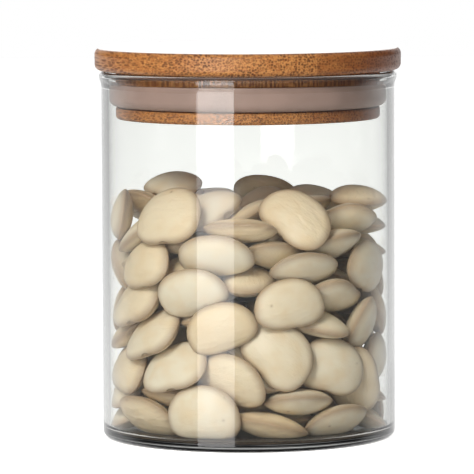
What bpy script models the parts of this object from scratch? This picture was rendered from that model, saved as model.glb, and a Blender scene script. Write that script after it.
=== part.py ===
"""Glass storage jar with a push-in bamboo lid.

A straight-sided glass jar is closed by a bamboo board with a plug glued under it. A silicone ring sits in the
plug's groove and grips the inside of the glass. The lid lifts straight out of the jar, and its wood turns inside
the ring.

Metres, +Z up. The origin is on the jar's axis, on the surface that the jar stands on. Every piece is turned, so
each one is a profile of (radius, height) points given to a Screw modifier, and every origin lies on the axis that
the lid lifts along and turns about.
"""

import math

import bpy

# Glass jar
GLASS_DIAMETER = 0.095
GLASS_HEIGHT = 0.1185
WALL = 0.0024
FLOOR_HEIGHT = 0.0022
FLOOR_CORNER = 0.0026
HEEL_RADIUS = 0.0020
RIM_BEAD_PROUD = 0.0007
RIM_BEAD_HEIGHT = 0.0024
RIM_BEAD_BLEND = 0.0018
STANDING_RING_WIDTH = 0.0075
UNDERSIDE_HOLLOW = 0.0006    # at the middle
HOLLOW_SHOULDER = 0.8        # share of the hollow's radius at which it is nearly at its full depth
SHOULDER_DEPTH = 0.75        # share of the depth there

# Lid
BOARD_DIAMETER = 0.099
BOARD_THICKNESS = 0.0072
BOARD_EDGE_RADIUS = 0.0020
PLUG_DIAMETER = 0.0854
PLUG_DEPTH = 0.0152
UPPER_FLANGE = 0.0025
LOWER_FLANGE = 0.0038
GROOVE_DEPTH = 0.0037
PLUG_TOP_CORNER = 0.0004
FLANGE_INNER_CORNER = 0.0006
FLANGE_OUTER_CORNER = 0.0012

# Seal ring
SEAL_LIP_CORNER = 0.0005
SEAL_FOOT_RECESS = 0.0007
SEAL_BULGE_HEIGHT = 0.0030

GAP = 0.0003              # left between two pieces that touch
TURNED_STEPS = 72         # facets round every turned piece
MERGE_DISTANCE = 0.00001  # closes the poles of a turned piece and nothing else

# Heights and radii that follow from the sizes above
GLASS_RADIUS = GLASS_DIAMETER / 2
BORE_RADIUS = GLASS_RADIUS - WALL
BOARD_RADIUS = BOARD_DIAMETER / 2
PLUG_RADIUS = PLUG_DIAMETER / 2
BOARD_BOTTOM = GLASS_HEIGHT + GAP
PLUG_TOP = BOARD_BOTTOM - GAP
PLUG_BOTTOM = PLUG_TOP - PLUG_DEPTH
GROOVE_TOP = PLUG_TOP - UPPER_FLANGE
GROOVE_BOTTOM = PLUG_BOTTOM + LOWER_FLANGE
GROOVE_RADIUS = PLUG_RADIUS - GROOVE_DEPTH
SEAL_BOTTOM = GROOVE_BOTTOM + GAP
SEAL_HEIGHT = GROOVE_TOP - GROOVE_BOTTOM - 2 * GAP


def material(name, color, roughness, transmission=0.0, alpha=1.0):
    """A Principled BSDF material."""
    new = bpy.data.materials.new(name)
    new.use_nodes = True
    shader = new.node_tree.nodes["Principled BSDF"]
    shader.inputs["Base Color"].default_value = (*color, 1.0)
    shader.inputs["Roughness"].default_value = roughness
    shader.inputs["Metallic"].default_value = 0.0
    shader.inputs["Transmission Weight"].default_value = transmission
    shader.inputs["Alpha"].default_value = alpha
    new.diffuse_color = (*color, alpha)
    return new


def arc(center, radii, start, end, segments):
    """Points on an ellipse about center from angle start to end, in degrees from +radius towards +height."""
    points = []
    for step in range(segments + 1):
        angle = math.radians(start + (end - start) * step / segments)
        points.append((center[0] + radii[0] * math.cos(angle), center[1] + radii[1] * math.sin(angle)))
    return points


def round_corner(corner, radius, start, segments=4):
    """A quarter circle that rounds an outer corner, clockwise from angle start, for a profile that runs down."""
    turn = math.radians(start - 45)
    reach = radius * math.sqrt(2)
    center = (corner[0] - reach * math.cos(turn), corner[1] - reach * math.sin(turn))
    return arc(center, (radius, radius), start, start - 90, segments)


def turned(name, profile, closed, finish, collection, parent, height):
    """A turned piece: its profile, in (radius, height) above its own origin, swept round the Z axis."""
    count = len(profile)
    edges = [(index, index + 1) for index in range(count - 1)]
    if closed:
        edges.append((count - 1, 0))
    mesh = bpy.data.meshes.new(name)
    mesh.from_pydata([(radius, 0.0, z) for radius, z in profile], edges, [])
    mesh.materials.append(finish)
    piece = bpy.data.objects.new(name, mesh)
    collection.objects.link(piece)
    piece.parent = parent
    piece.location = (0.0, 0.0, height)
    screw = piece.modifiers.new("turn", "SCREW")
    screw.axis = "Z"
    screw.angle = math.tau
    screw.steps = TURNED_STEPS
    screw.render_steps = TURNED_STEPS
    screw.use_merge_vertices = True
    screw.merge_threshold = MERGE_DISTANCE
    screw.use_smooth_shade = True
    return piece


def axis_empty(name, collection, parent, height):
    """An empty on the jar's axis that carries what one joint moves."""
    empty = bpy.data.objects.new(name, None)
    empty.empty_display_type = "ARROWS"
    empty.empty_display_size = 0.02
    empty.parent = parent
    empty.location = (0.0, 0.0, height)
    collection.objects.link(empty)
    return empty


def glass_profile():
    """From the middle of the inside floor, up the bore, over the rim and down to the middle of the underside."""
    bead_radius = GLASS_RADIUS + RIM_BEAD_PROUD
    lip = (bead_radius - BORE_RADIUS) / 2
    lip_center = (BORE_RADIUS + lip, GLASS_HEIGHT - lip)
    bead_bottom = GLASS_HEIGHT - RIM_BEAD_HEIGHT
    ring_inner = GLASS_RADIUS - HEEL_RADIUS - STANDING_RING_WIDTH
    floor_corner_center = (BORE_RADIUS - FLOOR_CORNER, FLOOR_HEIGHT + FLOOR_CORNER)

    profile = [(0.0, FLOOR_HEIGHT)]
    profile += arc(floor_corner_center, (FLOOR_CORNER, FLOOR_CORNER), -90, 0, 5)
    profile += arc(lip_center, (lip, lip), 180, 0, 8)
    profile += [(bead_radius, bead_bottom), (GLASS_RADIUS, bead_bottom - RIM_BEAD_BLEND)]
    profile += round_corner((GLASS_RADIUS, 0.0), HEEL_RADIUS, 0)
    profile += [(ring_inner, 0.0), (ring_inner * HOLLOW_SHOULDER, UNDERSIDE_HOLLOW * SHOULDER_DEPTH)]
    profile += [(0.0, UNDERSIDE_HOLLOW)]
    return profile


def board_profile():
    """From the middle of the top face to the middle of the underside, with both edges rounded."""
    profile = [(0.0, BOARD_THICKNESS)]
    profile += round_corner((BOARD_RADIUS, BOARD_THICKNESS), BOARD_EDGE_RADIUS, 90, 5)
    profile += round_corner((BOARD_RADIUS, 0.0), BOARD_EDGE_RADIUS, 0, 5)
    profile += [(0.0, 0.0)]
    return profile


def plug_profile():
    """From the middle of the glued face, round the upper flange, the groove and the lower flange."""
    groove_top = GROOVE_TOP - PLUG_BOTTOM
    groove_bottom = GROOVE_BOTTOM - PLUG_BOTTOM
    profile = [(0.0, PLUG_DEPTH)]
    profile += round_corner((PLUG_RADIUS, PLUG_DEPTH), PLUG_TOP_CORNER, 90, 1)
    profile += [(PLUG_RADIUS, groove_top), (GROOVE_RADIUS, groove_top), (GROOVE_RADIUS, groove_bottom)]
    profile += round_corner((PLUG_RADIUS, groove_bottom), FLANGE_INNER_CORNER, 90, 3)
    profile += round_corner((PLUG_RADIUS, 0.0), FLANGE_OUTER_CORNER, 0, 4)
    profile += [(0.0, 0.0)]
    return profile


def seal_profile():
    """The ring's section: a flat top, a lip that stands up to the bore, and a bulge that curves in to its foot."""
    inner = GROOVE_RADIUS + GAP
    lip = BORE_RADIUS - GAP
    foot = PLUG_RADIUS - SEAL_FOOT_RECESS
    profile = [(inner, SEAL_HEIGHT)]
    profile += round_corner((lip, SEAL_HEIGHT), SEAL_LIP_CORNER, 90, 2)
    profile += arc((foot, SEAL_BULGE_HEIGHT), (lip - foot, SEAL_BULGE_HEIGHT), 0, -90, 6)
    profile += [(inner, 0.0)]
    return profile


def build():
    for old in list(bpy.data.objects):
        bpy.data.objects.remove(old, do_unlink=True)
    jar = bpy.data.collections.new("glass_storage_jar")
    bpy.context.scene.collection.children.link(jar)

    glass = material("clear_glass", (0.93, 0.97, 0.95), 0.02, transmission=1.0, alpha=0.35)
    bamboo = material("bamboo", (0.62, 0.38, 0.18), 0.45)
    silicone = material("silicone", (0.55, 0.50, 0.50), 0.50)

    turned("glass_jar", glass_profile(), False, glass, jar, None, 0.0)
    lift = axis_empty("lid_lift_axis", jar, None, SEAL_BOTTOM)
    turned("seal_ring", seal_profile(), True, silicone, jar, lift, 0.0)
    twist = axis_empty("lid_twist_axis", jar, lift, 0.0)
    turned("lid_plug", plug_profile(), False, bamboo, jar, twist, PLUG_BOTTOM - SEAL_BOTTOM)
    turned("lid_board", board_profile(), False, bamboo, jar, twist, BOARD_BOTTOM - SEAL_BOTTOM)


build()
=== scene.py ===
"""Glass storage jar with a push-in bamboo lid, half full of dried butter beans.

The jar, its silicone ring and the lid's two wooden pieces are turned from short outlines. The beans are
dropped into the jar and left where they come to rest. They are its contents, so they are staged and aren't
pieces of it.
"""

import math
import random

import bmesh
import bpy
from bpy.props import FloatProperty, FloatVectorProperty, IntProperty, PointerProperty
from mathutils import Matrix, Vector


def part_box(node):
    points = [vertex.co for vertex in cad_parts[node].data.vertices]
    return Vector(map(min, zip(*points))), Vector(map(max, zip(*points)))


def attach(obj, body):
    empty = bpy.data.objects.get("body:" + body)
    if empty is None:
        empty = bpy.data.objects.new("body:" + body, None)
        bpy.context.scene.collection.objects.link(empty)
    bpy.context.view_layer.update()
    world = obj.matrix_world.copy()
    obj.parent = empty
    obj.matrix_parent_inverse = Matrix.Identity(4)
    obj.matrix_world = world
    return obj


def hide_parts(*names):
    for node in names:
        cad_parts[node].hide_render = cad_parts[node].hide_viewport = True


bl_info = {
    "name": "Bamboo Lid Storage Jar",
    "version": (1, 0, 0),
    "blender": (4, 5, 0),
    "location": "View3D > Sidebar > Storage Jar",
    "description": "Builds a straight glass storage jar with a push-in bamboo lid and a silicone seal ring",
    "category": "Add Mesh",
}

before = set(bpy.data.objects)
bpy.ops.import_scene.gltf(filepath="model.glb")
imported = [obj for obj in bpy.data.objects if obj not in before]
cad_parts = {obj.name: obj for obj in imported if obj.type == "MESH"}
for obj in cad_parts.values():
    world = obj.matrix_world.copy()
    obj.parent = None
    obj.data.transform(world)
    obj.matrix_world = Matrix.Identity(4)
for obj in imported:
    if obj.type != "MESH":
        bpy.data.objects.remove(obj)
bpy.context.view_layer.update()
GLASS_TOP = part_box("glass_jar")[1]
SEAL_LOW, SEAL_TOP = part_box("seal_ring")
PLUG_LOW, PLUG_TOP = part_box("lid_plug")
BOARD_LOW, BOARD_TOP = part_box("lid_board")

# Turning
TURN_STEPS = 256         # facets round a turned piece
MERGE_DISTANCE = 1e-6    # closes the poles of a turned piece
SUPPORT_LOOP = 0.00025   # kept beside a rounded edge, so that flat faces shade flat
SHORT_EDGE = 8 * SUPPORT_LOOP    # too short for support loops
SHARP_ANGLE = math.radians(50)

# Glass
RIM_ROUNDING = 0.48      # share of the rim's width, just short of the half where its two roundings meet
BEAD_LOW_CORNER = 0.0005
BEAD_BLEND_CORNER = 0.0008
STANDING_RING_CORNER = 0.0012
HOLLOW_CORNER = 0.0040
HOLLOW_SHOULDER = 0.8    # share of the hollow's radius at which it is nearly at its full depth
SHOULDER_DEPTH = 0.75    # share of the depth there

# Seal ring and plug
SEAL_INNER_CORNER = 0.0003
PLUG_TOP_CORNER = 0.0004
UPPER_FLANGE_CORNER = 0.0003
GROOVE_CORNER = 0.0002
LOWER_FLANGE_CORNER = 0.0006

# Bamboo
FIRST_STRIP = 170.0      # picks the run of strip tones
STRIP_SHIFT = 0.0065     # puts the seams to one side of the board's middle

# Bean shape, on a ball of radius 1 before it is given its size
BEAN_KINDS = 9           # different bean shapes
BEAN_FULLNESS = 2.25     # 2 is an oval outline, and more is squarer
EYE_SIDE = 0.84          # the notched side stands out this share as far as the other
NOTCH_REACH = 0.34       # how far the notch spreads along the bean
BEAN_BEND = 0.09         # how far the ends bend towards the notched side
BEAN_SHIFT = 0.07        # puts a bent bean's middle back on its origin
BEAN_LENS = 1.35         # 1 is a ball's section, and more has a thinner rim
COARSE_BEAN = 2          # icosphere subdivisions of a bean that falls
SMOOTH_BEAN = 5          # and of a bean that is seen
BEAN_FIT = (0.97, 0.97, 0.90)    # makes the smooth bean fit in the coarse one
EYE_AXES = (0.0017, 0.0013, 0.0009)    # half sizes of the brown eye
EYE_PLACE = 0.80         # share of half the bean's width

# The beans' fall, in a copy of the jar that is SIM_SCALE times larger, with its lengths below at that scale
SIM_SCALE = 100.0
SIM_GRAVITY = 400.0
SIM_FRAMES = 70
SIM_SUBSTEPS = 24
SIM_ITERATIONS = 20
SIM_SPIN = 500.0         # strength of the field that spins the beans against the wall
SPIN_STOP = 3            # frames in which the field dies away
SIM_WALLS = 30
WALL_THICKNESS = 1.0
WALL_HEIGHT = 32
WALL_MIDDLE = 15
WALL_OVERLAP = 1.05
FLOOR_WIDTH = 12
BEANS_IN_RING = 10
RING_INSET = 0.60        # from the wall to a bean's middle
RING_HEIGHT = 1.1        # from the floor to the first ring
RING_STEP = 2.0
BEANS_IN_LAYER = 7       # one in the middle and the others round it
LAYER_REACH = 2.15
LAYER_HEIGHT = 0.7
LAYER_STEP = 1.05


# Settings -----------------------------------------------------------------------------------------

class GlassSettings(bpy.types.PropertyGroup):
    """The straight glass jar."""

    height: FloatProperty(
        name="Height", description="Height of the glass", default=GLASS_TOP.z, unit="LENGTH"
    )
    bead_radius: FloatProperty(
        name="Bead Radius", description="Radius over the rim bead", default=GLASS_TOP.x, unit="LENGTH"
    )
    bead_proud: FloatProperty(
        name="Bead Proud", description="How far the rim bead stands out", default=0.0007, unit="LENGTH"
    )
    bead_height: FloatProperty(
        name="Bead Height", description="Height of the rim bead", default=0.0024, unit="LENGTH"
    )
    bead_blend: FloatProperty(
        name="Bead Blend", description="Height of the slope under the bead", default=0.0018, unit="LENGTH"
    )
    wall: FloatProperty(name="Wall", description="Thickness of the wall", default=0.0024, unit="LENGTH")
    floor: FloatProperty(
        name="Floor", description="Height of the inside floor", default=0.0022, unit="LENGTH"
    )
    floor_corner: FloatProperty(
        name="Floor Corner", description="Radius where wall meets inside floor", default=0.0026, unit="LENGTH"
    )
    heel: FloatProperty(name="Heel", description="Radius of the bottom edge", default=0.0020, unit="LENGTH")
    ring_width: FloatProperty(
        name="Standing Ring", description="Width of the flat ring underneath", default=0.0075, unit="LENGTH"
    )
    hollow: FloatProperty(
        name="Hollow", description="Depth of the hollow underneath", default=0.0006, unit="LENGTH"
    )
    tint: FloatVectorProperty(
        name="Tint", description="Colour that the wall gives to what is behind it",
        default=(0.975, 0.985, 0.965), subtype="COLOR", min=0.0, max=1.0,
    )


class SealSettings(bpy.types.PropertyGroup):
    """The silicone ring."""

    lip_corner: FloatProperty(
        name="Lip Corner", description="Radius of the ring's upper edge", default=0.0005, unit="LENGTH"
    )
    foot_curve: FloatProperty(
        name="Foot Curve", description="Radius of the curve down to the foot", default=0.0028, unit="LENGTH"
    )
    thickness: FloatProperty(
        name="Thickness", description="From the groove to the lip", default=0.0055, unit="LENGTH"
    )
    colour: FloatVectorProperty(
        name="Colour", description="Colour of the silicone", default=(0.38, 0.258, 0.216), subtype="COLOR",
        min=0.0, max=1.0,
    )


class LidSettings(bpy.types.PropertyGroup):
    """The bamboo board and the plug under it."""

    board_edge: FloatProperty(
        name="Board Edge", description="Radius of the board's edges", default=0.0020, unit="LENGTH"
    )
    upper_flange: FloatProperty(
        name="Upper Flange", description="Height of the wood above the groove", default=0.0025, unit="LENGTH"
    )
    lower_flange: FloatProperty(
        name="Lower Flange", description="Height of the wood below the groove", default=0.0038, unit="LENGTH"
    )
    groove: FloatProperty(
        name="Groove", description="Depth of the ring's groove", default=0.0037, unit="LENGTH"
    )
    plug_edge: FloatProperty(
        name="Plug Edge", description="Radius of the plug's bottom edge", default=0.0012, unit="LENGTH"
    )
    light_wood: FloatVectorProperty(
        name="Light Wood", description="Colour of the soft tissue",
        default=(0.62, 0.280, 0.080), subtype="COLOR", min=0.0, max=1.0,
    )
    dark_wood: FloatVectorProperty(
        name="Dark Wood", description="Colour of the darker strips",
        default=(0.30, 0.088, 0.020), subtype="COLOR", min=0.0, max=1.0,
    )
    fibre: FloatVectorProperty(
        name="Fibre", description="Colour of the fibre bundles",
        default=(0.075, 0.022, 0.007), subtype="COLOR", min=0.0, max=1.0,
    )
    strip_width: FloatProperty(
        name="Strip Width", description="Width of a glued strip", default=0.0185, unit="LENGTH"
    )
    grain_turn: FloatProperty(
        name="Grain Turn", description="Direction of the grain, from the front", default=math.radians(12),
        unit="ROTATION", subtype="ANGLE",
    )


class BeanSettings(bpy.types.PropertyGroup):
    """The dried beans in the jar."""

    rings: IntProperty(
        name="Rings", description="Rings of beans that start against the wall", default=6, min=1
    )
    layers: IntProperty(
        name="Layers", description="Flat layers that start within the rings", default=17, min=1
    )
    length: FloatProperty(name="Length", description="Mean length of a bean", default=0.0256, unit="LENGTH")
    width: FloatProperty(name="Width", description="Mean width of a bean", default=0.0194, unit="LENGTH")
    thickness: FloatProperty(name="Thickness", description="Mean thickness", default=0.0083, unit="LENGTH")
    notch: FloatProperty(
        name="Notch", description="Depth of the notch at the eye", default=0.07, min=0.0, max=0.5
    )
    seed: IntProperty(name="Seed", description="Another heap of the same beans", default=11)
    ivory: FloatVectorProperty(
        name="Ivory", description="Colour of most beans", default=(0.80, 0.715, 0.55), subtype="COLOR",
        min=0.0, max=1.0,
    )
    cream: FloatVectorProperty(
        name="Cream", description="Colour of the yellower beans",
        default=(0.78, 0.63, 0.415), subtype="COLOR", min=0.0, max=1.0,
    )


class StageSettings(bpy.types.PropertyGroup):
    """Camera, floor and light."""

    distance: FloatProperty(
        name="Distance", description="Camera to the jar's axis", default=1.5, unit="LENGTH"
    )
    eye_height: FloatProperty(
        name="Eye Height", description="Height of the camera", default=0.196, unit="LENGTH"
    )
    side_step: FloatProperty(
        name="Side Step", description="Camera's place beside the axis", default=-0.0037, unit="LENGTH"
    )
    look_down: FloatProperty(
        name="Look Down", description="Camera's angle below level", default=math.radians(5.014),
        unit="ROTATION", subtype="ANGLE",
    )
    roll: FloatProperty(
        name="Roll", description="Camera's roll", default=math.radians(-0.25),
        unit="ROTATION", subtype="ANGLE",
    )
    lens: FloatProperty(name="Lens", description="Focal length", default=352.6, unit="CAMERA")
    window: FloatProperty(name="Window", description="Radiance of the tall window", default=3.7, min=0.0)
    key: FloatProperty(name="Key", description="Power of the small lamp", default=6.8, min=0.0)
    fill: FloatProperty(
        name="Fill", description="Brightness of the dim side of the room", default=0.075, min=0.0
    )
    table: FloatProperty(
        name="Table", description="Brightness of the table's own light", default=0.80, min=0.0
    )
    backdrop: FloatProperty(
        name="Backdrop", description="Brightness of the white backdrop", default=1.4, min=0.0
    )


class JarSettings(bpy.types.PropertyGroup):
    """Everything that the jar's operators read."""

    glass: PointerProperty(type=GlassSettings)
    seal: PointerProperty(type=SealSettings)
    lid: PointerProperty(type=LidSettings)
    beans: PointerProperty(type=BeanSettings)
    stage: PointerProperty(type=StageSettings)


# Modelling ----------------------------------------------------------------------------------------

def add_outline(bm, corners, closed):
    """A wire in the XZ plane through corners of (radius, height, rounding, segments), rounded by bevels."""
    verts = [bm.verts.new((radius, 0.0, height)) for radius, height, _, _ in corners]
    for first, second in zip(verts, verts[1:]):
        bm.edges.new((first, second))
    if closed:
        bm.edges.new((verts[-1], verts[0]))
    for vert, (_, _, rounding, segments) in zip(verts, corners):
        if rounding > 0.0:
            bmesh.ops.bevel(
                bm, geom=[vert], offset=rounding, offset_type="OFFSET", affect="VERTICES", segments=segments,
                profile=0.5, material=-1, clamp_overlap=False,
            )
    for edge in list(bm.edges):
        length = edge.calc_length()
        if length > SHORT_EDGE:
            start, end = edge.verts
            rest, _ = bmesh.utils.edge_split(edge, start, SUPPORT_LOOP / length)
            rest = edge if end in edge.verts else rest
            bmesh.utils.edge_split(rest, end, SUPPORT_LOOP / rest.calc_length())


def add_turned(name, corners, material, closed=False):
    """A piece turned from its outline about the jar's axis, its place in its mesh."""
    bm = bmesh.new()
    add_outline(bm, corners, closed)
    bmesh.ops.spin(
        bm, geom=bm.verts[:] + bm.edges[:], cent=(0, 0, 0), axis=(0, 0, 1), angle=math.tau, steps=TURN_STEPS,
        use_merge=True, use_duplicate=False,
    )
    bmesh.ops.remove_doubles(bm, verts=bm.verts, dist=MERGE_DISTANCE)
    bmesh.ops.recalc_face_normals(bm, faces=bm.faces)
    mesh = bpy.data.meshes.new(name)
    bm.to_mesh(mesh)
    bm.free()
    mesh.shade_smooth()
    mesh.set_sharp_from_angle(angle=SHARP_ANGLE)
    mesh.materials.append(material)
    piece = bpy.data.objects.new(name, mesh)
    bpy.context.scene.collection.objects.link(piece)
    return piece


# Materials ----------------------------------------------------------------------------------------

def new_material(name):
    """A material with a Principled BSDF; returns it with its nodes, links and shader."""
    material = bpy.data.materials.new(name)
    material.use_nodes = True
    nodes = material.node_tree.nodes
    return material, nodes, material.node_tree.links, nodes["Principled BSDF"]


def set_inputs(node, **values):
    """Sets a node's inputs by name, with _ for a space."""
    for name, value in values.items():
        node.inputs[name.replace("_", " ")].default_value = value


def add_node(nodes, kind, settings=None, **values):
    """A node with its settings and input values."""
    node = nodes.new(kind)
    for name, value in (settings or {}).items():
        setattr(node, name, value)
    set_inputs(node, **values)
    return node


def maths(tree, operation, first, second=0.0, clamp=False):
    """A Math node on two sockets or numbers; returns its output."""
    node = tree.nodes.new("ShaderNodeMath")
    node.operation = operation
    node.use_clamp = clamp
    for index, value in enumerate((first, second)):
        if isinstance(value, bpy.types.NodeSocket):
            tree.links.new(value, node.inputs[index])
        else:
            node.inputs[index].default_value = value
    return node.outputs[0]


def ramp(tree, value, low, high, low_out=0.0, high_out=1.0):
    """A smooth step of value from low to high."""
    node = tree.nodes.new("ShaderNodeMapRange")
    node.interpolation_type = "SMOOTHSTEP"
    for name, number in (("From Min", low), ("From Max", high), ("To Min", low_out), ("To Max", high_out)):
        node.inputs[name].default_value = number
    tree.links.new(value, node.inputs["Value"])
    return node.outputs["Result"]


def mix_colour(tree, factor, first, second, blend="MIX"):
    """A Mix node for colours; each side is a socket or a colour."""
    node = tree.nodes.new("ShaderNodeMix")
    node.data_type = "RGBA"
    node.blend_type = blend
    sides = (node.inputs[0], factor), (node.inputs[6], first), (node.inputs[7], second)
    for socket, value in sides:
        if isinstance(value, bpy.types.NodeSocket):
            tree.links.new(value, socket)
        elif socket.type == "RGBA":
            socket.default_value = (*value, 1.0)
        else:
            socket.default_value = value
    return node.outputs[2]


def stretched(tree, vector, scale):
    """The vector multiplied by scale, axis by axis."""
    node = tree.nodes.new("ShaderNodeVectorMath")
    node.operation = "MULTIPLY"
    node.inputs[1].default_value = scale
    tree.links.new(vector, node.inputs[0])
    return node.outputs[0]


def noise(tree, vector, scale, detail=2.0, roughness=0.5):
    """A Noise Texture's value."""
    node = add_node(tree.nodes, "ShaderNodeTexNoise", Scale=scale, Detail=detail, Roughness=roughness)
    tree.links.new(vector, node.inputs["Vector"])
    return node.outputs["Fac"]


def straight_look(tree):
    """1 for a look that goes straight out, or straight through glass, and 0 for every other ray."""
    path = tree.nodes.new("ShaderNodeLightPath")
    direct = maths(tree, "LESS_THAN", path.outputs["Glossy Depth"], 0.5)
    through = maths(tree, "MULTIPLY", path.outputs["Is Transmission Ray"], direct)
    return maths(tree, "MAXIMUM", path.outputs["Is Camera Ray"], through)


def bamboo_grain_group():
    """Node group: strips, fibre bundles and fine fibres of laminated bamboo, with the grain along Y."""
    tree = bpy.data.node_groups.new("bamboo_grain", "ShaderNodeTree")
    face = tree.interface
    face.new_socket(name="Vector", in_out="INPUT", socket_type="NodeSocketVector")
    face.new_socket(name="Strip Width", in_out="INPUT", socket_type="NodeSocketFloat")
    for name in ("Tone", "Bundles", "Fibres", "Seam"):
        face.new_socket(name=name, in_out="OUTPUT", socket_type="NodeSocketFloat")
    entry = tree.nodes.new("NodeGroupInput")
    leave = tree.nodes.new("NodeGroupOutput")
    vector = entry.outputs["Vector"]

    split = tree.nodes.new("ShaderNodeSeparateXYZ")
    tree.links.new(vector, split.inputs[0])
    across = maths(tree, "DIVIDE", split.outputs["X"], entry.outputs["Strip Width"])
    strip = maths(tree, "ADD", maths(tree, "FLOOR", across), FIRST_STRIP)
    within = maths(tree, "FRACT", across)
    shade = add_node(tree.nodes, "ShaderNodeTexWhiteNoise", {"noise_dimensions": "1D"})
    tree.links.new(strip, shade.inputs["W"])

    # Soft bands along the grain, a few millimetres wide.
    bands = noise(tree, stretched(tree, vector, (1.0, 0.10, 1.6)), 330.0, 3.0, 0.65)
    tone_and_shade = maths(tree, "ADD", maths(tree, "MULTIPLY", shade.outputs["Value"], 0.30),
                 maths(tree, "MULTIPLY", bands, 0.55))
    # Painted shade: the wood gets darker towards +X, the side turned away from the lamps.
    tone_and_shade = maths(tree, "ADD", tone_and_shade, ramp(tree, split.outputs["X"], 0.008, 0.045, 0.0, 0.28))

    # Fibre bundles: dots across the grain and long dark lines along it, denser towards one side of a strip.
    cells = add_node(tree.nodes, "ShaderNodeTexVoronoi", {"feature": "F1"}, Scale=1.0, Randomness=0.8)
    tree.links.new(stretched(tree, vector, (1150.0, 40.0, 1300.0)), cells.inputs["Vector"])
    fade = maths(tree, "MULTIPLY", ramp(tree, noise(tree, vector, 160.0, 2.0), 0.35, 0.60, 0.65, 1.0),
                 ramp(tree, shade.outputs["Value"], 0.1, 0.9, 1.0, 0.75))
    dots = ramp(tree, cells.outputs["Distance"], 0.28, 0.60, 1.0, 0.0)
    bundles = maths(tree, "MULTIPLY", dots, fade)

    fibres = noise(tree, stretched(tree, vector, (1700.0, 90.0, 2100.0)), 1.0, 3.0, 0.65)
    seam = ramp(tree, maths(tree, "ABSOLUTE", maths(tree, "SUBTRACT", within, 0.5)), 0.4915, 0.4965)
    for name, socket in (("Tone", tone_and_shade), ("Bundles", bundles), ("Fibres", fibres), ("Seam", seam)):
        tree.links.new(socket, leave.inputs[name])
    return tree


def bamboo_material(settings):
    """Oiled bamboo under a thin lacquer."""
    material, nodes, links, shader = new_material("bamboo")
    tree = material.node_tree
    place = nodes.new("ShaderNodeTexCoord")
    turn = add_node(
        nodes, "ShaderNodeMapping", Location=(STRIP_SHIFT, 0.0, 0.0), Rotation=(0, 0, -settings.grain_turn)
    )
    grain = add_node(
        nodes, "ShaderNodeGroup", {"node_tree": bamboo_grain_group()}, Strip_Width=settings.strip_width
    )
    links.new(place.outputs["Object"], turn.inputs["Vector"])
    links.new(turn.outputs["Vector"], grain.inputs["Vector"])

    tone_and_shade = ramp(tree, grain.outputs["Tone"], 0.22, 0.86)
    wood = mix_colour(tree, tone_and_shade, settings.light_wood, settings.dark_wood)
    streaks = ramp(tree, grain.outputs["Fibres"], 0.38, 0.66, 0.0, 0.85)
    wood = mix_colour(tree, streaks, wood, settings.dark_wood)
    wood = mix_colour(tree, maths(tree, "MULTIPLY", grain.outputs["Bundles"], 0.80), wood, settings.fibre)
    wood = mix_colour(tree, maths(tree, "MULTIPLY", grain.outputs["Seam"], 0.2), wood, settings.fibre)
    links.new(wood, shader.inputs["Base Color"])
    links.new(ramp(tree, grain.outputs["Bundles"], 0.0, 1.0, 0.42, 0.62), shader.inputs["Roughness"])

    height = maths(tree, "SUBTRACT", maths(tree, "MULTIPLY", grain.outputs["Fibres"], 0.35),
                   maths(tree, "ADD", grain.outputs["Bundles"], grain.outputs["Seam"]))
    bump = add_node(nodes, "ShaderNodeBump", Strength=0.5, Distance=0.00006)
    links.new(height, bump.inputs["Height"])
    links.new(bump.outputs["Normal"], shader.inputs["Normal"])

    # The broad faces are lacquered and the turned edges are only oiled.
    facing = nodes.new("ShaderNodeNewGeometry")
    tilt = nodes.new("ShaderNodeSeparateXYZ")
    links.new(facing.outputs["Normal"], tilt.inputs[0])
    flat = ramp(tree, maths(tree, "ABSOLUTE", tilt.outputs["Z"]), 0.80, 0.99)
    links.new(ramp(tree, flat, 0.0, 1.0, 0.15, 1.0), shader.inputs["Coat Weight"])
    links.new(ramp(tree, flat, 0.0, 1.0, 0.32, 0.10), shader.inputs["Coat Roughness"])
    set_inputs(shader, IOR=1.45, Coat_IOR=1.6)
    return material


def silicone_material(settings):
    """Milky silicone, drawn opaque; the real ring is slightly translucent."""
    material, nodes, links, shader = new_material("silicone")
    tree = material.node_tree
    place = nodes.new("ShaderNodeTexCoord")
    cloud = noise(tree, place.outputs["Object"], 120.0, 3.0)
    dusty = tuple(0.86 * part for part in settings.colour)
    colour = mix_colour(tree, ramp(tree, cloud, 0.35, 0.7), tuple(settings.colour), dusty)
    links.new(colour, shader.inputs["Base Color"])
    links.new(ramp(tree, cloud, 0.3, 0.7, 0.34, 0.46), shader.inputs["Roughness"])
    grains = noise(tree, place.outputs["Object"], 2600.0, 2.0)
    bump = add_node(nodes, "ShaderNodeBump", Strength=0.12, Distance=0.00003)
    links.new(grains, bump.inputs["Height"])
    links.new(bump.outputs["Normal"], shader.inputs["Normal"])
    set_inputs(shader, IOR=1.41)
    return material


def glass_material(settings):
    """Clear glass that lets lamps and soft light through to what is inside."""
    material, nodes, links, shader = new_material("clear_glass")
    tree = material.node_tree
    place = nodes.new("ShaderNodeTexCoord")
    drawn = noise(tree, stretched(tree, place.outputs["Object"], (1.0, 1.0, 0.06)), 75.0, 1.0)
    bump = add_node(nodes, "ShaderNodeBump", Strength=0.06, Distance=0.0002)
    links.new(drawn, bump.inputs["Height"])
    links.new(bump.outputs["Normal"], shader.inputs["Normal"])
    set_inputs(shader, Base_Color=(*settings.tint, 1.0), Roughness=0.0, IOR=1.5, Transmission_Weight=1.0)

    path = nodes.new("ShaderNodeLightPath")
    clear = add_node(nodes, "ShaderNodeBsdfTransparent", Color=(0.965, 0.965, 0.955, 1.0))
    surface = shader.outputs["BSDF"]
    for ray in ("Is Shadow Ray", "Is Diffuse Ray"):
        mix = nodes.new("ShaderNodeMixShader")
        links.new(path.outputs[ray], mix.inputs[0])
        links.new(surface, mix.inputs[1])
        links.new(clear.outputs["BSDF"], mix.inputs[2])
        surface = mix.outputs["Shader"]
    links.new(surface, nodes["Material Output"].inputs["Surface"])
    return material


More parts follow.
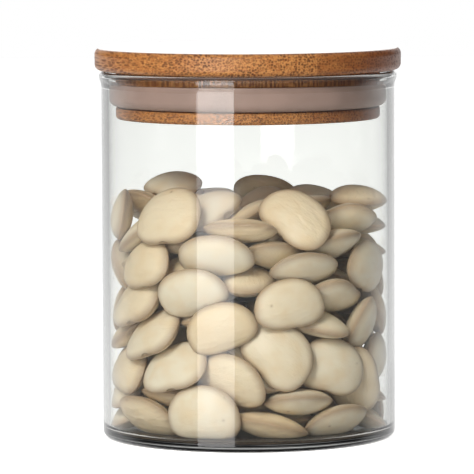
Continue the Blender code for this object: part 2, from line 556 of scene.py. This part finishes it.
def bean_material(settings):
    """Dried bean skin, a little different on each bean, with a brown eye at the notch."""
    material, nodes, links, shader = new_material("dried_bean")
    tree = material.node_tree
    place = nodes.new("ShaderNodeTexCoord")
    each = nodes.new("ShaderNodeObjectInfo")
    local = add_node(nodes, "ShaderNodeVectorMath", {"operation": "ADD"})
    shift = add_node(nodes, "ShaderNodeVectorMath", {"operation": "SCALE"}, Scale=0.37)
    links.new(each.outputs["Location"], shift.inputs[0])
    links.new(place.outputs["Object"], local.inputs[0])
    links.new(shift.outputs["Vector"], local.inputs[1])
    where = local.outputs["Vector"]

    skin = mix_colour(tree, ramp(tree, each.outputs["Random"], 0.40, 1.0), settings.ivory, settings.cream)
    mottle = ramp(tree, noise(tree, where, 150.0, 4.0, 0.6), 0.35, 0.75)
    tan = tuple(part * factor for part, factor in zip(settings.cream, (0.95, 0.88, 0.78)))
    skin = mix_colour(tree, maths(tree, "MULTIPLY", mottle, 0.55), skin, tan)

    specks = add_node(nodes, "ShaderNodeTexVoronoi", {"feature": "F1"}, Scale=260.0)
    links.new(where, specks.inputs["Vector"])
    rare = ramp(tree, noise(tree, where, 190.0, 1.0), 0.60, 0.68)
    spots = maths(tree, "MULTIPLY", ramp(tree, specks.outputs["Distance"], 0.06, 0.22, 1.0, 0.0), rare)
    skin = mix_colour(tree, maths(tree, "MULTIPLY", spots, 0.6), skin, (0.30, 0.17, 0.07))

    # Painted shade: the thin rim is painted dark brown all round, for the shade in the gaps where beans meet.
    flank = nodes.new("ShaderNodeSeparateXYZ")
    links.new(place.outputs["Object"], flank.inputs[0])
    off_rim = maths(tree, "ABSOLUTE", flank.outputs["Z"])
    rim = ramp(tree, off_rim, 0.0, 0.27 * settings.thickness, 1.0, 0.0)
    skin = mix_colour(tree, maths(tree, "MULTIPLY", rim, 0.80), skin, (0.32, 0.205, 0.115))

    # The eye is an oval in the middle of the notched side.
    eye_place = add_node(nodes, "ShaderNodeMapping", {"vector_type": "POINT"})
    links.new(place.outputs["Object"], eye_place.inputs["Vector"])
    half_width = settings.width / 2
    set_inputs(
        eye_place, Location=(0.0, EYE_PLACE * half_width / EYE_AXES[1], 0.0),
        Scale=tuple(1 / axis for axis in EYE_AXES),
    )
    reach = add_node(nodes, "ShaderNodeVectorMath", {"operation": "LENGTH"})
    links.new(eye_place.outputs["Vector"], reach.inputs[0])
    eye = ramp(tree, reach.outputs["Value"], 0.75, 1.35, 1.0, 0.0)
    skin = mix_colour(tree, maths(tree, "MULTIPLY", eye, 0.45), skin, (0.30, 0.19, 0.10))
    links.new(skin, shader.inputs["Base Color"])
    links.new(ramp(tree, mottle, 0.0, 1.0, 0.30, 0.44), shader.inputs["Roughness"])

    wrinkled = ramp(tree, each.outputs["Random"], 0.35, 0.95, 0.25, 1.0)
    folds = noise(tree, stretched(tree, where, (0.6, 1.3, 1.0)), 300.0, 3.0, 0.55)
    height = maths(tree, "SUBTRACT", maths(tree, "MULTIPLY", folds, wrinkled), eye)
    bump = add_node(nodes, "ShaderNodeBump", Strength=0.7, Distance=0.001)
    links.new(height, bump.inputs["Height"])
    links.new(bump.outputs["Normal"], shader.inputs["Normal"])
    set_inputs(shader, Subsurface_Weight=0.06, Subsurface_Radius=(1.0, 0.6, 0.35), Subsurface_Scale=0.0022)
    return material


# Beans --------------------------------------------------------------------------------------------

def bean_mesh(name, size, notch, taper, subdivisions):
    """A plump oval bean with one flatter side, notched at the eye. size is (length, width, thickness)."""
    bm = bmesh.new()
    bmesh.ops.create_icosphere(bm, subdivisions=subdivisions, radius=1.0)
    for vert in bm.verts:
        x, y, z = vert.co
        round_xy = math.hypot(x, y)
        if round_xy > 1e-6:
            square = abs(x / round_xy) ** BEAN_FULLNESS + abs(y / round_xy) ** BEAN_FULLNESS
            square = square ** (-1 / BEAN_FULLNESS)
            x *= square
            y *= square
        if y < 0.0:
            y *= EYE_SIDE
        y += notch * math.exp(-(x / NOTCH_REACH) ** 2) * max(0.0, -y) - BEAN_BEND * x * x + BEAN_SHIFT
        y *= 1.0 + taper * x
        z = math.copysign(abs(z) ** BEAN_LENS, z) * (1.0 + 0.5 * taper * x)
        vert.co = (x * size[0] / 2, y * size[1] / 2, z * size[2] / 2)
    mesh = bpy.data.meshes.new(name)
    bm.to_mesh(mesh)
    bm.free()
    mesh.shade_smooth()
    return mesh


def make_rigid(thing, kind, shape, friction):
    """Puts an object into the rigid body world."""
    bpy.context.view_layer.objects.active = thing
    thing.select_set(True)
    bpy.ops.rigidbody.object_add()
    thing.select_set(False)
    body = thing.rigid_body
    body.type = kind
    body.collision_shape = shape
    body.friction = friction
    body.restitution = 0.02
    body.use_margin = True
    body.collision_margin = 0.01
    body.linear_damping = 0.15
    body.angular_damping = 0.3


def add_block(name, size, place, turn):
    """A fixed block that the beans lie against."""
    bm = bmesh.new()
    bmesh.ops.create_cube(bm, size=1.0, matrix=Matrix.Diagonal((*size, 1.0)))
    mesh = bpy.data.meshes.new(name)
    bm.to_mesh(mesh)
    bm.free()
    block = bpy.data.objects.new(name, mesh)
    block.matrix_world = Matrix.Translation(place) @ Matrix.Rotation(turn, 4, "Z")
    bpy.context.scene.collection.objects.link(block)
    make_rigid(block, "PASSIVE", "BOX", 0.2)
    return block


def start_places(settings, bore, floor, dice):
    """Each bean's first place and turn: upright in rings against the wall, and flat in layers within."""
    places = []
    for ring in range(settings.rings):
        start = dice.uniform(0, math.tau)
        for index in range(BEANS_IN_RING):
            angle = start + math.tau * index / BEANS_IN_RING
            height = floor + RING_HEIGHT + RING_STEP * ring + dice.uniform(-0.1, 0.1)
            reach = bore - RING_INSET
            roll = dice.gauss(0.0, 0.4) if dice.random() < 0.7 else dice.uniform(0, math.pi)
            turn = Matrix.Rotation(angle, 4, "Z") @ Matrix.Rotation(math.pi / 2, 4, "Y")
            turn = turn @ Matrix.Rotation(math.pi / 2 + roll, 4, "Z")
            places.append((Vector((reach * math.cos(angle), reach * math.sin(angle), height)), turn))
    for layer in range(settings.layers):
        start = dice.uniform(0, math.tau)
        height = floor + LAYER_HEIGHT + LAYER_STEP * layer
        for index in range(BEANS_IN_LAYER):
            angle = start + math.tau * index / (BEANS_IN_LAYER - 1)
            reach = 0.0 if index == BEANS_IN_LAYER - 1 else LAYER_REACH
            turn = Matrix.Rotation(angle + dice.uniform(-0.4, 0.4), 4, "Z")
            turn = turn @ Matrix.Rotation(dice.gauss(0.0, 0.3), 4, "X")
            turn = turn @ Matrix.Rotation(dice.gauss(0.0, 0.3), 4, "Y")
            places.append((Vector((reach * math.cos(angle), reach * math.sin(angle), height)), turn))
    return places


def settle_beans(settings, glass):
    """Drops the beans into an enlarged jar; returns each one's kind and its place at rest, in metres."""
    scene = bpy.context.scene
    dice = random.Random(settings.seed)
    bore = (glass.bead_radius - glass.bead_proud - glass.wall) * SIM_SCALE
    floor = glass.floor * SIM_SCALE
    kinds = []
    for _ in range(BEAN_KINDS):
        size = (
            settings.length * dice.uniform(0.92, 1.08),
            settings.width * dice.uniform(0.93, 1.08),
            settings.thickness * dice.uniform(0.90, 1.12),
        )
        kinds.append((size, settings.notch * dice.uniform(0.3, 1.5), dice.uniform(-0.07, 0.07)))

    frames = SIM_FRAMES
    scene.gravity = (0.0, 0.0, -SIM_GRAVITY)
    scene.frame_start = 1
    scene.frame_end = frames
    bpy.ops.rigidbody.world_add()
    world = scene.rigidbody_world
    world.substeps_per_frame = SIM_SUBSTEPS
    world.solver_iterations = SIM_ITERATIONS
    world.point_cache.frame_start = 1
    world.point_cache.frame_end = frames

    wall = WALL_THICKNESS
    half_side = (bore + wall) * math.tan(math.pi / SIM_WALLS) * WALL_OVERLAP
    helpers = [add_block("bean_floor", (FLOOR_WIDTH, FLOOR_WIDTH, wall), (0, 0, floor - wall / 2), 0.0)]
    for index in range(SIM_WALLS):
        angle = math.tau * index / SIM_WALLS
        reach = bore + wall / 2
        place = (reach * math.cos(angle), reach * math.sin(angle), WALL_MIDDLE)
        helpers.append(add_block("bean_wall", (wall, 2 * half_side, WALL_HEIGHT), place, angle))

    rough = [
        bean_mesh("bean_rough", [SIM_SCALE * part for part in size], notch, taper, COARSE_BEAN)
        for size, notch, taper in kinds
    ]
    beans = []
    for place, turn in start_places(settings, bore, floor, dice):
        kind = dice.randrange(BEAN_KINDS)
        bean = bpy.data.objects.new("bean", rough[kind])
        bean.matrix_world = Matrix.Translation(place) @ turn @ Matrix.Scale(dice.uniform(0.92, 1.06), 4)
        scene.collection.objects.link(bean)
        make_rigid(bean, "ACTIVE", "CONVEX_HULL", 0.3)
        beans.append((kind, bean))

    # The beans are spun until they lie flat against the wall, and then they settle.
    bpy.ops.object.effector_add(type="FORCE")
    spin = bpy.context.object
    spin.field.shape = "LINE"
    spin.field.falloff_power = 0.0
    for number, force in ((1, SIM_SPIN), (frames // 2, SIM_SPIN), (frames // 2 + SPIN_STOP, 0.0)):
        spin.field.strength = force
        spin.field.keyframe_insert("strength", frame=number)
    helpers.append(spin)

    bpy.context.view_layer.update()
    for number in range(1, frames + 1):
        scene.frame_set(number)
    shapes = bpy.context.evaluated_depsgraph_get()
    shrink = Matrix.Scale(1 / SIM_SCALE, 4)
    grow = Matrix.Scale(SIM_SCALE, 4)
    draw_in = math.cos(math.pi / SIM_WALLS)    # from the corners between the flat walls to the round bore
    rest = []
    for kind, bean in beans:
        place = shrink @ bean.evaluated_get(shapes).matrix_world @ grow
        place.translation.xy *= draw_in
        rest.append((kinds[kind], place))
    bpy.ops.rigidbody.world_remove()
    for thing in helpers + [bean for _, bean in beans]:
        bpy.data.objects.remove(thing, do_unlink=True)
    scene.frame_set(1)
    return rest


# Operators ----------------------------------------------------------------------------------------

class JAR_OT_add_glass(bpy.types.Operator):
    """Turn the glass jar"""

    bl_idname = "storage_jar.add_glass"
    bl_label = "Glass Jar"

    def execute(self, context):
        s = context.scene.storage_jar.glass
        outer = s.bead_radius - s.bead_proud
        bore = outer - s.wall
        lip = RIM_ROUNDING * (s.bead_radius - bore)
        bead_low = s.height - s.bead_height
        ring_inner = outer - s.heel - s.ring_width
        corners = [
            (0.0, s.floor, 0.0, 1),
            (bore, s.floor, s.floor_corner, 12),
            (bore, s.height, lip, 10),
            (s.bead_radius, s.height, lip, 10),
            (s.bead_radius, bead_low, BEAD_LOW_CORNER, 4),
            (outer, bead_low - s.bead_blend, BEAD_BLEND_CORNER, 5),
            (outer, 0.0, s.heel, 10),
            (ring_inner, 0.0, STANDING_RING_CORNER, 4),
            (HOLLOW_SHOULDER * ring_inner, SHOULDER_DEPTH * s.hollow, HOLLOW_CORNER, 6),
            (0.0, s.hollow, 0.0, 1),
        ]
        glass = add_turned("jar_glass", corners, glass_material(s))
        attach(glass, "jar")
        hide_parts("glass_jar")
        return {"FINISHED"}


class JAR_OT_add_seal(bpy.types.Operator):
    """Mould the silicone ring"""

    bl_idname = "storage_jar.add_seal"
    bl_label = "Seal Ring"

    def execute(self, context):
        s = context.scene.storage_jar.seal
        lip = SEAL_TOP.x
        inner = lip - s.thickness
        corners = [
            (inner, SEAL_TOP.z, SEAL_INNER_CORNER, 3),
            (lip, SEAL_TOP.z, s.lip_corner, 5),
            (lip, SEAL_LOW.z, s.foot_curve, 14),
            (inner, SEAL_LOW.z, SEAL_INNER_CORNER, 3),
        ]
        seal = add_turned("seal", corners, silicone_material(s), closed=True)
        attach(seal, "seal")
        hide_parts("seal_ring")
        return {"FINISHED"}


class JAR_OT_add_lid(bpy.types.Operator):
    """Turn the bamboo board and the plug under it"""

    bl_idname = "storage_jar.add_lid"
    bl_label = "Bamboo Lid"

    def execute(self, context):
        s = context.scene.storage_jar.lid
        bamboo = bamboo_material(s)
        board_corners = [
            (0.0, BOARD_TOP.z, 0.0, 1),
            (BOARD_TOP.x, BOARD_TOP.z, s.board_edge, 8),
            (BOARD_TOP.x, BOARD_LOW.z, s.board_edge, 8),
            (0.0, BOARD_LOW.z, 0.0, 1),
        ]
        groove_top = PLUG_TOP.z - s.upper_flange
        groove_low = PLUG_LOW.z + s.lower_flange
        groove_radius = PLUG_TOP.x - s.groove
        plug_corners = [
            (0.0, PLUG_TOP.z, 0.0, 1),
            (PLUG_TOP.x, PLUG_TOP.z, PLUG_TOP_CORNER, 3),
            (PLUG_TOP.x, groove_top, UPPER_FLANGE_CORNER, 3),
            (groove_radius, groove_top, GROOVE_CORNER, 2),
            (groove_radius, groove_low, GROOVE_CORNER, 2),
            (PLUG_TOP.x, groove_low, LOWER_FLANGE_CORNER, 4),
            (PLUG_TOP.x, PLUG_LOW.z, s.plug_edge, 7),
            (0.0, PLUG_LOW.z, 0.0, 1),
        ]
        pieces = ("board", board_corners, "lid_board"), ("plug", plug_corners, "lid_plug")
        for name, corners, node in pieces:
            piece = add_turned(name, corners, bamboo)
            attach(piece, "lid")
            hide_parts(node)
        return {"FINISHED"}


class JAR_OT_add_beans(bpy.types.Operator):
    """Fill the jar with dried beans"""

    bl_idname = "storage_jar.add_beans"
    bl_label = "Dried Beans"

    def execute(self, context):
        settings = context.scene.storage_jar
        beans = settings.beans
        material = bean_material(beans)
        meshes = {}
        bore = settings.glass.bead_radius - settings.glass.bead_proud - settings.glass.wall
        for index, (shape, place) in enumerate(settle_beans(beans, settings.glass)):
            if place.translation.xy.length > bore:
                raise RuntimeError("a bean has left the jar")
            if shape not in meshes:
                dropped, notch, taper = shape
                size = [part * fit for part, fit in zip(dropped, BEAN_FIT)]
                meshes[shape] = bean_mesh("bean", size, notch, taper, SMOOTH_BEAN)
                meshes[shape].materials.append(material)
            bean = bpy.data.objects.new(f"bean_{index:03d}", meshes[shape])
            bean.matrix_world = place
            context.scene.collection.objects.link(bean)
        return {"FINISHED"}


class JAR_OT_add_stage(bpy.types.Operator):
    """Set up the floor, the light and the camera"""

    bl_idname = "storage_jar.add_stage"
    bl_label = "Stage"

    def execute(self, context):
        s = context.scene.storage_jar.stage
        self.add_floor(context, s)
        self.add_room(context, s)
        self.add_window(context, s)
        self.add_key(context, s)
        self.add_camera(context, s)
        context.scene.view_settings.view_transform = "Standard"
        return {"FINISHED"}

    def add_floor(self, context, s):
        """A white table that glows to the eye, except under the jar, where it is painted nearly black as a
        painted shadow, and doesn't show in reflections.
        """
        bm = bmesh.new()
        bmesh.ops.create_circle(bm, cap_ends=True, segments=96, radius=2.5)
        mesh = bpy.data.meshes.new("floor")
        bm.to_mesh(mesh)
        bm.free()
        material, nodes, links, shader = new_material("pale_floor")
        tree = material.node_tree
        place = nodes.new("ShaderNodeTexCoord")
        radius = add_node(nodes, "ShaderNodeVectorMath", {"operation": "LENGTH"})
        links.new(place.outputs["Object"], radius.inputs[0])
        clear = ramp(tree, radius.outputs["Value"], 0.0455, 0.0470)
        glow = maths(tree, "MULTIPLY", maths(tree, "MULTIPLY", straight_look(tree), clear), s.table)
        links.new(glow, shader.inputs["Emission Strength"])
        # Painted shadow: under the jar the table is nearly black, and this shows through the glass base.
        colour = mix_colour(tree, clear, (0.07, 0.055, 0.045), (0.93, 0.93, 0.93))
        links.new(colour, shader.inputs["Base Color"])
        set_inputs(shader, Roughness=0.8, Emission_Color=(1.0, 1.0, 1.0, 1.0))
        mesh.materials.append(material)
        floor = bpy.data.objects.new("floor", mesh)
        floor.visible_glossy = False
        context.scene.collection.objects.link(floor)

    def add_room(self, context, s):
        """White to the eye. Its light is bright from the back, the top and the table behind, and else dim."""
        world = bpy.data.worlds.new("studio")
        world.use_nodes = True
        tree = world.node_tree
        sky = tree.nodes["Background"]
        place = tree.nodes.new("ShaderNodeTexCoord")
        split = tree.nodes.new("ShaderNodeSeparateXYZ")
        tree.links.new(place.outputs["Generated"], split.inputs[0])
        above = ramp(tree, split.outputs["Z"], -0.02, 0.04, 0.58, 1.0)
        path = tree.nodes.new("ShaderNodeLightPath")
        within = ramp(tree, path.outputs["Transmission Depth"], 0.0, 1.0, 1.0, 0.12)
        back = maths(tree, "MULTIPLY", ramp(tree, split.outputs["Y"], 0.80, 0.97), above)
        back = maths(tree, "MULTIPLY", back, within)
        top = ramp(tree, split.outputs["Z"], 0.30, 0.95, 0.0, 0.22)
        behind = ramp(tree, split.outputs["Y"], 0.0, 0.6)
        table = maths(tree, "MULTIPLY", ramp(tree, split.outputs["Z"], -0.04, 0.0, 0.85, 0.0), behind)
        bright = maths(tree, "MAXIMUM", maths(tree, "MAXIMUM", back, top), table)
        light = mix_colour(tree, bright, (s.fill,) * 3, (s.backdrop,) * 3)
        tree.links.new(mix_colour(tree, straight_look(tree), light, (1.0, 1.0, 1.0)), sky.inputs["Color"])
        context.scene.world = world

    def add_window(self, context, s):
        """A tall window to the left of the camera."""
        width, tall, away, height, azimuth = 0.62, 2.0, 1.2, 0.70, math.radians(25.6)
        area = bpy.data.lights.new("window", "AREA")
        area.shape = "RECTANGLE"
        area.size = width
        area.size_y = tall
        area.energy = s.window * math.pi * width * tall
        lamp = bpy.data.objects.new("window", area)
        lamp.location = (-away * math.sin(azimuth), -away * math.cos(azimuth), height)
        lamp.rotation_euler = (math.pi / 2, 0.0, -azimuth)
        context.scene.collection.objects.link(lamp)

    def add_key(self, context, s):
        """A smaller lamp on the same side, which doesn't show in the glass."""
        size, away, aim, azimuth, rise = 0.35, 1.3, 0.06, math.radians(22), math.radians(38)
        area = bpy.data.lights.new("key", "AREA")
        area.size = size
        area.energy = s.key
        lamp = bpy.data.objects.new("key", area)
        level = away * math.cos(rise)
        lamp.location = (-level * math.sin(azimuth), -level * math.cos(azimuth), aim + away * math.sin(rise))
        lamp.rotation_euler = (math.pi / 2 - rise, 0.0, -azimuth)
        lamp.visible_glossy = False
        lamp.visible_transmission = False
        context.scene.collection.objects.link(lamp)

    def add_camera(self, context, s):
        """A long lens, a little above the lid."""
        camera = bpy.data.cameras.new("camera")
        camera.sensor_width = 36.0
        camera.lens = s.lens
        eye = bpy.data.objects.new("camera", camera)
        eye.matrix_world = (
            Matrix.Translation((s.side_step, -s.distance, s.eye_height))
            @ Matrix.Rotation(math.pi / 2 - s.look_down, 4, "X")
            @ Matrix.Rotation(s.roll, 4, "Z")
        )
        context.scene.collection.objects.link(eye)
        context.scene.camera = eye


class JAR_PT_sidebar(bpy.types.Panel):
    """The jar's pieces and their settings"""

    bl_idname = "JAR_PT_sidebar"
    bl_label = "Storage Jar"
    bl_space_type = "VIEW_3D"
    bl_region_type = "UI"
    bl_category = "Storage Jar"

    def draw(self, context):
        settings = context.scene.storage_jar
        for name in ("glass", "seal", "lid", "beans", "stage"):
            box = self.layout.box()
            group = getattr(settings, name)
            for key in group.bl_rna.properties.keys():
                if key not in {"rna_type", "name"}:
                    box.prop(group, key)
            box.operator(f"storage_jar.add_{name}")


CLASSES = (
    GlassSettings,
    SealSettings,
    LidSettings,
    BeanSettings,
    StageSettings,
    JarSettings,
    JAR_OT_add_glass,
    JAR_OT_add_seal,
    JAR_OT_add_lid,
    JAR_OT_add_beans,
    JAR_OT_add_stage,
    JAR_PT_sidebar,
)


def register():
    for cls in CLASSES:
        bpy.utils.register_class(cls)
    bpy.types.Scene.storage_jar = PointerProperty(type=JarSettings)


def unregister():
    del bpy.types.Scene.storage_jar
    for cls in reversed(CLASSES):
        bpy.utils.unregister_class(cls)


def main():
    register()
    bpy.ops.storage_jar.add_beans()
    bpy.ops.storage_jar.add_glass()
    bpy.ops.storage_jar.add_seal()
    bpy.ops.storage_jar.add_lid()
    bpy.ops.storage_jar.add_stage()


if __name__ == "__main__":
    main()
